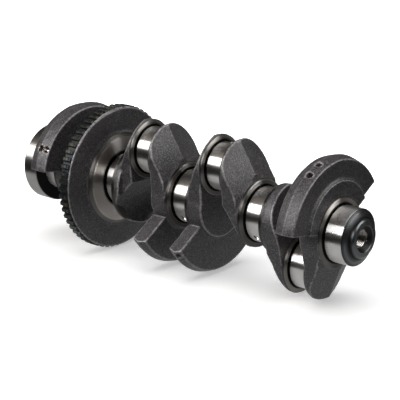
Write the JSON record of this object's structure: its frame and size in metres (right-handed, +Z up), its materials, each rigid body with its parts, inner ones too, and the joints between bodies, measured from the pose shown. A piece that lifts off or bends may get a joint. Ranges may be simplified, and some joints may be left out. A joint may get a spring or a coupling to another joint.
{
  "type": "crankshaft",
  "caption": "Forged in-line engine crankshaft with ground journals and crankpins, counterweights, a round thrust disc with a toothed trigger ring, a bolt flange and a tapped nose.",
  "frame": {"origin": "centre of the flywheel bolt circle, on the flywheel face and the crank axis", "axes": "+X along the crank axis from the flywheel face to the pulley nose; +Z up as the crank lies, with crankpins 2 and 3 up, 9 degrees off the vertical"},
  "size_m": [0.386, 0.1392, 0.1392],
  "materials": {
    "forged": "as forged, dark charcoal scale",
    "ground": "ground and polished",
    "trigger": "blue-grey pressed steel",
    "black_oxide": "turned and blackened",
    "bearing_steel": "hardened and ground",
    "cage_brass": "machined"
  },
  "bodies": {
    "crank": {"rear_flange": "ground", "main_journal_5": "ground", "main_journal_4": "ground", "main_journal_3": "ground", "main_journal_2": "ground", "main_journal_1": "ground", "crankpin_4": "ground", "crankpin_3": "ground", "crankpin_2": "ground", "crankpin_1": "ground", "web_8": "forged", "web_7": "forged", "web_6": "forged", "web_5": "forged", "web_4": "forged", "web_3": "forged", "web_2": "forged", "web_1": "forged", "nose": "black_oxide", "trigger_ring": "trigger", "flywheel_dowel": "bearing_steel", "pilot_outer_ring": "bearing_steel", "pilot_shield_rear": "bearing_steel", "pilot_shield_front": "bearing_steel"},
    "pilot_inner": {"pilot_inner_ring": "bearing_steel"},
    "pilot_cage_and_balls": {"pilot_cage": "cage_brass", "pilot_balls": "bearing_steel"}
  },
  "joints": [
    {"name": "pilot_inner_spin", "type": "hinge", "parent": "crank", "child": "pilot_inner", "pos_m": [0.0065, 0, 0], "axis": [1, 0, 0], "continuous": true},
    {"name": "pilot_cage_spin", "type": "hinge", "parent": "crank", "child": "pilot_cage_and_balls", "pos_m": [0.0065, 0, 0], "axis": [1, 0, 0], "continuous": true}
  ],
  "couplings": [
    {"joint": "pilot_cage_spin", "follows": "pilot_inner_spin", "ratio": 0.38}
  ]
}
